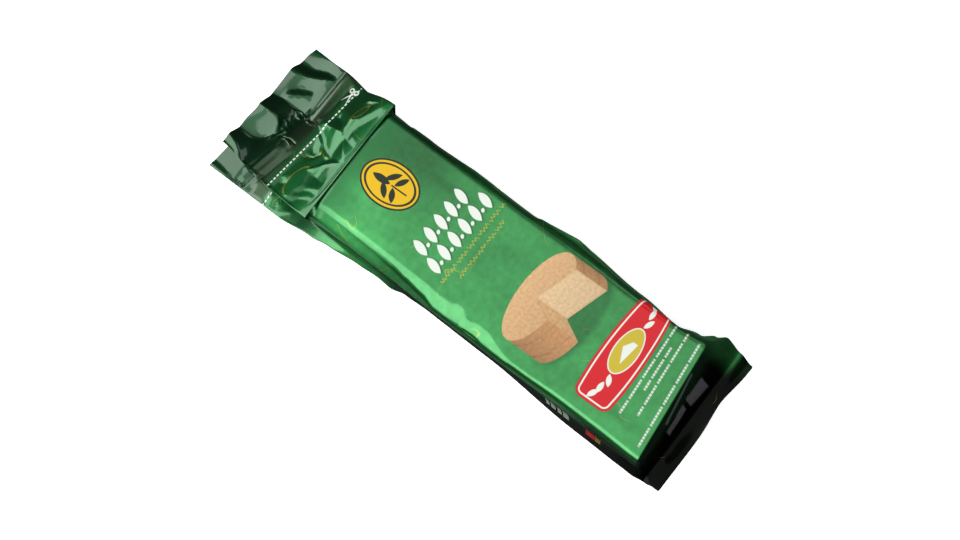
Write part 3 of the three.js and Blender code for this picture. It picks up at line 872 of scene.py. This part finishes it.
GREEN = (0.043, 0.262, 0.073)
COLLAR_GREEN = (0.015, 0.14, 0.037)
FLAP_GREEN = (0.011, 0.06, 0.021)
NIGHT_GREEN = (0.002, 0.012, 0.005)
BLACK = (0.003, 0.004, 0.003)
WHITE = (0.62, 0.66, 0.6)
YELLOW = (0.62, 0.38, 0.006)
GOLD = (0.46, 0.36, 0.03)
RED = (0.5, 0.01, 0.016)
SEAL_GRAY = (0.075, 0.075, 0.055)
FOOT_GRAY = (0.09, 0.085, 0.095)
LINE = (0.012, 0.02, 0.01)
RIND = (0.42, 0.22, 0.095)
RIND_TOP = (0.5, 0.31, 0.155)
CUT = (0.55, 0.39, 0.22)
CUT_SHADE = (0.46, 0.28, 0.13)

PRINT_AXIS = 4.5  # the print's middle lies this far right of the panel's, at EMBLEM_Y
PRINT_LEAN = 0.0215  # and further right towards the foot
EMBLEM_Y = 210.7
GARLAND_Y = (173.5, 161.0)
RULE_Y = (151.2, 145.0)
WHEEL = (-3.0, 91.0)
PLAQUE_Y = 46.2
SMALL_RULES = ((30.3, -0.6, 28.5), (26.0, 2.0, 13.5), (21.8, 1.5, 26.2), (13.2, -6.0, 32.0))


def medallion(ink, p):
    """A yellow oval with a dark ring round a sprig of five leaves."""
    ink.print(oval(p, 13.6, 19.2), LINE)
    ink.print(oval(p, 12.5, 18.1), YELLOW)
    ink.print(abs(oval(p, 10.6, 16.2)) - 0.5, LINE)
    ink.print(bar(moved(p, 0, -6.5), 0.45, 5.5), LINE)
    ink.print(leaf(moved(p, 0, 6.2), 6.2, 2.2), LINE)
    for side in (-1, 1):
        for y, turn, size in ((-0.6, 48, 5.2), (-6.6, 58, 4.6)):
            ink.print(leaf(turned(moved(p, side * 4.6, y + 1.6), side * turn), size, 1.8), LINE)


def garland(ink, p):
    """Two rows of slanted white leaves, each over its soft shadow."""
    for y, count, pitch, start in ((GARLAND_Y[0], 5, 9.2, -0.8), (GARLAND_Y[1], 6, 9.3, 0.3)):
        row = moved(p, start, y)
        ends = abs(row[0] - row[1] * 0.3) - count * pitch / 2
        shift = pitch / 2 if count % 2 == 0 else 0
        for dx, dy, color, cover, soft in ((0.7, -0.7, LINE, 0.55, 0.6), (0, 0, WHITE, 1.0, 0.14)):
            x, y_here = row[0] - dx, row[1] - dy
            each = ((x - shift - y_here * 0.3).every(pitch), y_here)
            ink.print(leaf(turned(each, 6), 5.9, 2.5).high(ends), color, cover, soft)
            bead = disc((((x - shift - pitch / 2) - y_here * 0.3).every(pitch), y_here + 2.6), 1.15)
            ink.print(bead.high(ends + pitch / 2), color, cover, soft)


def gold_rules(ink, p):
    """Two thin gold lines that waver, with gaps."""
    for y, half, pitch in ((RULE_Y[0], 28.3, 9.7), (RULE_Y[1], 20.0, 8.3)):
        x, y_here = moved(p, 0, y)
        waver = (x * 2.6).math("SINE") * 0.75 + (x * 1.1).math("SINE") * 0.35
        gaps = abs(x.every(pitch)) - pitch * 0.43
        ink.print((abs(y_here - waver) * 0.62 - 0.24).high(abs(x) - half).high(gaps), GOLD, 0.75, 0.25)


WHEEL_WIDE, WHEEL_DEEP, WHEEL_TALL = 29.5, 12.0, 21.0  # half width, half depth of the drawn top, height
NOTCH_TIP = (-1.5, 1.0)
NOTCH_SIDES = (-106, -36)  # where the cut meets the rim, in degrees round the top


def cheese_wheel(ink, p):
    """A drawn wheel of cheese with a wedge cut out of its front."""
    crumb = noise(p, 0.55, 4.0) * 0.7 + 0.65

    def grain(color, shade):
        return tone(color, crumb * shade)

    p = moved(p, WHEEL[0], WHEEL[1] + 12.0)
    low = moved(p, 0, -WHEEL_TALL)
    tip = NOTCH_TIP
    left, right = ((WHEEL_WIDE * math.cos(math.radians(a)), WHEEL_DEEP * math.sin(math.radians(a)))
                   for a in NOTCH_SIDES)

    def under(point, drop):
        return point[0], point[1] - drop

    notch = slab(p, tip, left, under(left, 60), under(right, 60), right)
    top = oval(p, WHEEL_WIDE, WHEEL_DEEP)
    foot = oval(low, WHEEL_WIDE, WHEEL_DEEP)
    wall = bar(moved(p, 0, -WHEEL_TALL / 2), WHEEL_WIDE, WHEEL_TALL / 2).low(foot)
    ink.print(oval(moved(low, 1.5, -1.5), WHEEL_WIDE + 2, WHEEL_DEEP + 1), NIGHT_GREEN, 0.45, 2.0)
    ink.print(wall.high(-notch), grain(RIND, p[0] * p[0] * (-0.35 / WHEEL_WIDE ** 2) + 1.0))
    for drop in (5.0, 15.5):
        hoop = abs(oval(moved(p, 0, -drop), WHEEL_WIDE, WHEEL_DEEP)) - 0.25
        ink.print(hoop.high(p[1] + drop).high(-notch), LINE, 0.22, 0.3)
    ink.print(top.high(-notch), grain(RIND_TOP, p[1] * 0.008 + 1.0))
    faces = ((slab(p, left, under(left, WHEEL_TALL), under(tip, WHEEL_TALL), tip), CUT_SHADE),
             (slab(p, tip, under(tip, WHEEL_TALL), under(right, WHEEL_TALL), right), CUT))
    for face, color in faces:
        ink.print(face, grain(color, p[1] * 0.006 + 1.05))
        ink.print(abs(face + 0.35) - 0.35, RIND, 0.35, 0.3)


def plaque(ink, p):
    """A red plaque with a white line inside its edge, and a gold oval between white leaves."""
    p = moved(p, 0.2, PLAQUE_Y)
    barrel = (p[0], p[1].math("ABSOLUTE") + p[0] * p[0] * 0.0022)
    shape = bar(barrel, 34.6, 13.0, 4.5)
    ink.print(shape - 0.25, LINE, 0.5, 0.3)
    ink.print(shape, RED)
    ink.print(abs(shape + 1.9) - 0.45, WHITE)
    ink.print(oval(p, 14.6, 7.4), WHITE)
    ink.print(oval(p, 13.9, 6.7), GOLD)
    ink.print(slab(moved(p, -0.5, -1.4), (-7.5, 0.3), (6.5, -2.0), (6.5, 1.2), (1.5, 4.6)), WHITE)
    for side in (-1, 1):
        for step, turn in ((18.6, 64), (24.2, 90), (29.0, 116)):
            place = moved(p, side * step, 0.3 * (step - 24))
            ink.print(leaf(turned(place, side * turn), 3.6, 1.5), WHITE)


def small_rules(ink, p):
    """Fine white broken lines near the foot."""
    for y, middle, half in SMALL_RULES:
        x, y_here = moved(p, middle, y)
        dashes = (abs(x.every(1.9)) - 0.72).high(abs(x.every(13.3)) - 5.9)
        ink.print((abs(y_here) - 0.62).high(abs(x) - half).high(dashes), WHITE, 0.85, 0.25)


# Gold arcs on the collar, each the upper half of an oval: x, station, half width, half height, turn.
GOLD_ARCS = ((27.5, 251.6, 6.8, 2.6, -16), (28.5, 252.6, 5.4, 2.0, 164), (-25.5, 257, 10.5, 4.4, -3),
             (-6.5, 262.5, 6.0, 4.6, 128))


def gold_threads(ink, p):
    """Thin gold contour lines, where a slow noise lets them show."""
    slow = noise(p, 0.028, 2.0)
    lines = abs(slow - 0.5) * 260 - 0.28
    patches = noise((p[0] + 300, p[1]), 0.05, 0.0).span(0.56, 0.66)
    ink.mix(lines.span(0.35, 0.0) * patches * p[1].span(274, 266) * 0.55, GOLD)
    for x, y, half_wide, half_high, turn in GOLD_ARCS:
        place = turned(moved(p, x, y), turn)
        arc = abs(oval(place, half_wide, half_high)) - 0.1
        ink.mix(arc.span(0.25, 0) * place[1].span(-0.2, 0.4) * slow.span(0.3, 0.5) * 0.65, GOLD)


def cut_line(ink, p):
    """White dashes under the seal, and a pair of scissors on them."""
    way, station = p
    y = station + way.high(-41) * 0.046 - 266.4
    dashes = (abs(y) - 0.42).high(abs(way.every(2.73)) - 0.85)
    ink.print(dashes.high(way - 41.5), WHITE, 1.0, 0.12)
    p = (way - 33.8, y - 1.9)
    for side, turn in ((1, 28), (-1, -14)):
        blade = turned(p, 180 - turn)
        ink.print(slab(blade, (-1.4, -0.5), (6.4, -0.15), (6.4, 0.2), (-1.4, 0.5)), WHITE)
        ring = moved(p, 2.7, side * 1.7)
        ink.print(abs(disc(ring, 1.25)) - 0.42, WHITE)


def side_marks(ink, p):
    """A small red and gold block and a few pale bars on the left side, near the foot."""
    for middle, half, color in ((39, 3, RED), (33.8, 1.8, GOLD), (69, 1.2, WHITE), (65, 1.6, WHITE),
                                (60.5, 1.4, WHITE), (56, 2.0, WHITE)):
        ink.print(bar(moved(p, -1.85, middle), 0.35, half) * 4, color, 0.7 if color == RED else 0.45)


def foot_bars(ink, p):
    """Small grey bars on the black foot."""
    for x, y, half_wide, half_high, turn in ((-4.5, 4.6, 8.5, 1.1, 2), (14.5, 4.2, 7.6, 1.6, -3),
                                             (4.5, 8.0, 15, 0.35, 3)):
        ink.print(bar(turned(moved(p, x, y), turn), half_wide, half_high, 0.3), FOOT_GRAY, 0.7, 0.4)


def green_ground(tree, way, station, band):
    """The bare film's colour: cloudy green, with painted shade over the face's upper right and painted
    light over its upper left; darker towards the header, on the sides and at the foot, there partly as
    painted shade.
    """
    # Painted shade over the face's upper right, and painted light over its upper left.
    painted_shade_upper_right = way.span(-8, 22) * station.span(150, 205) * -0.5
    painted_light_upper_left = way.span(-4, -18) * station.span(180, 205) * 0.2
    clouds = noise((way, station * 0.5), 0.06, 2.0) * 0.5 + noise((way, station), 0.25, 4.0) * 0.6 + 0.42
    ink = Ink(tree, tone(GREEN, clouds * (painted_shade_upper_right + painted_light_upper_left + 1)))
    # Darker print on the collar; where it fades in over the face's top below the lip, it is painted shade
    # of the lip.
    ink.mix(station.span(212, 243), COLLAR_GREEN)
    ink.mix(station.span(CUT_LINE, HEAD_SEAL + 3), FLAP_GREEN)
    # The gussets, darkened as painted shade: in their fold at the header, and all along below it.
    gusset = abs(band).span(1.02, 1.2)
    ink.mix(gusset * abs(band).span(2.1, 1.9) * station.span(270, 240) * 0.9, NIGHT_GREEN)
    ink.mix(gusset * station.span(200, 168), NIGHT_GREEN)
    # Painted shade on the left bevel near the foot, which turns away from the light.
    ink.mix(band.span(-0.84, -0.9) * station.span(62, 38) * 0.85, NIGHT_GREEN)
    # The foot: black, but for its green right ear. The gussets go black towards it as painted shade, and
    # the foot's dark green edge and black are partly print, partly painted shade for the dark that its
    # steep end mirrors.
    body = way.span(41, 29)
    ink.mix(gusset * station.span(60, 20) * body, BLACK)
    ink.mix(station.span(10.6, 9.6) * 0.8 * body, NIGHT_GREEN)
    ink.mix(station.span(8, 4) * body, BLACK)
    ink.mix(station.span(2, -3) * 0.95, BLACK)
    # The seal band.
    ink.mix(station.span(268, 271) * station.span(HEAD_SEAL, 279) * 0.45, SEAL_GRAY)
    return ink


def print_all(ink, way, station, band):
    """The threads and motifs, those of the front cut off where it folds down at the right."""
    p = (way + (station - EMBLEM_Y) * PRINT_LEAN - PRINT_AXIS, station)
    gold_threads(ink, (way, station))
    bare = ink.color
    stamp(ink, moved(p, 0, EMBLEM_Y), medallion)
    for motif in (garland, gold_rules, cheese_wheel, plaque, small_rules):
        stamp(ink, p, motif)
    folded = band.span(0.8, 0.84) * station.span(238, 236)
    ink.mix(folded, bare)
    ink.opaque = ink.opaque * (folded * -1 + 1)
    stamp(ink, (way, station), cut_line)
    stamp(ink, (way, station), foot_bars)
    stamp(ink, (band, station), side_marks)


def film_material():
    """Glossy green foil: metal where it is bare, dull where ink covers it, with a clear coat."""
    material = bpy.data.materials.new("green_foil")
    material.use_nodes = True
    tree = material.node_tree
    shader = tree.nodes["Principled BSDF"]

    def uv(name):
        node, split = tree.nodes.new("ShaderNodeUVMap"), tree.nodes.new("ShaderNodeSeparateXYZ")
        node.uv_map = name
        tree.links.new(node.outputs["UV"], split.inputs[0])
        return Field(tree, split.outputs["X"]), Field(tree, split.outputs["Y"])

    way, station = uv("film")
    band, _ = uv("bands")
    ink = green_ground(tree, way, station, band)
    print_all(ink, way, station, band)
    # The bevels and sides are a little duller, so they don't go black.
    flank = abs(band).span(0.82, 0.9) * station.span(238, 232) * station.span(6, 14)
    metal = (ink.opaque * -1 + 1) * (flank * -0.25 + 0.95)
    # The coat is thinnest on the black foot, and thickest on the header.
    coat = station.span(4, 11) * 0.63 + station.span(232, 240) * 0.25 + 0.12
    grain = noise((way, station), 0.9, 3.0)

    tree.links.new(ink.color, shader.inputs["Base Color"])
    tree.links.new(metal.socket, shader.inputs["Metallic"])
    shader.inputs["Roughness"].default_value = 0.42
    shader.inputs["Specular IOR Level"].default_value = 0.0
    tree.links.new(coat.socket, shader.inputs["Coat Weight"])
    shader.inputs["Coat Roughness"].default_value = 0.1
    bump = tree.nodes.new("ShaderNodeBump")
    bump.inputs["Strength"].default_value = 0.25
    bump.inputs["Distance"].default_value = 0.0002
    tree.links.new(grain.socket, bump.inputs["Height"])
    tree.links.new(bump.outputs[0], shader.inputs["Normal"])
    return material


# ---- Putting it together ----------------------------------------------------------------------------

set_camera()
set_lights()
set_floor()
film = make_film("foil_bag")
film.data.materials.append(film_material())
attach(film, "root")
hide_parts("foil_pack")
